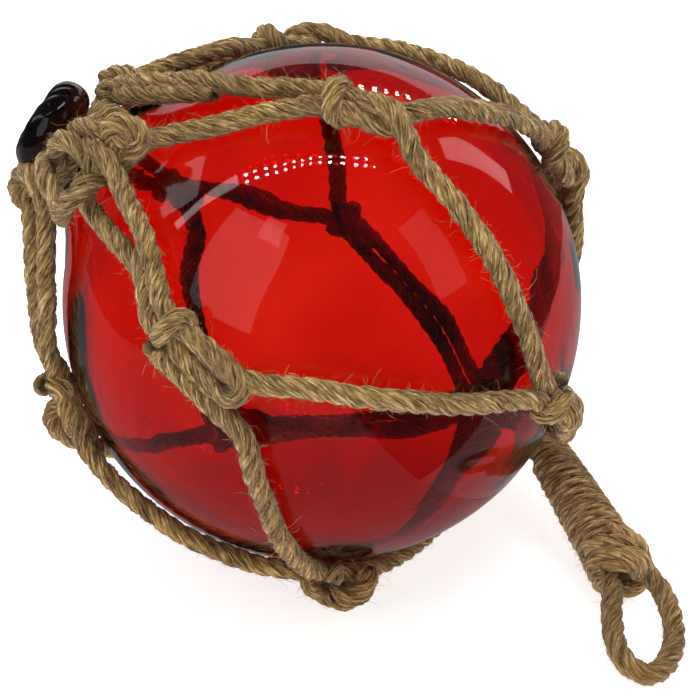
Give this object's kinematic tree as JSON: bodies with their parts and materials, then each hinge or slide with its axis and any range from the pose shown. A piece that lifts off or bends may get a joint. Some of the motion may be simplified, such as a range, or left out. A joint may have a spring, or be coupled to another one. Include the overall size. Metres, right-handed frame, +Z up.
{
  "type": "glass float ball",
  "caption": "Sealed red glass fishing float in a knotted natural-fibre rope net with a whipped grip and hanging loop, lying on its side.",
  "frame": {"origin": "middle of the small flat spot under the glass, on the surface that the float lies on", "axes": "+Z up; -X towards the side where the seal button points up; -Y towards the hanging loop"},
  "size_m": [0.1871, 0.1697, 0.1567],
  "materials": {
    "red_glass": "clear red blown glass, glossy",
    "jute_rope": "three-strand natural jute, matt and hairy",
    "jute_cord": "natural jute cord, matt"
  },
  "bodies": {
    "root": {"glass_ball": "red_glass", "rope_net": "jute_rope", "whipped_grip": "jute_cord", "hanging_loop": "jute_rope"}
  },
  "joints": []
}
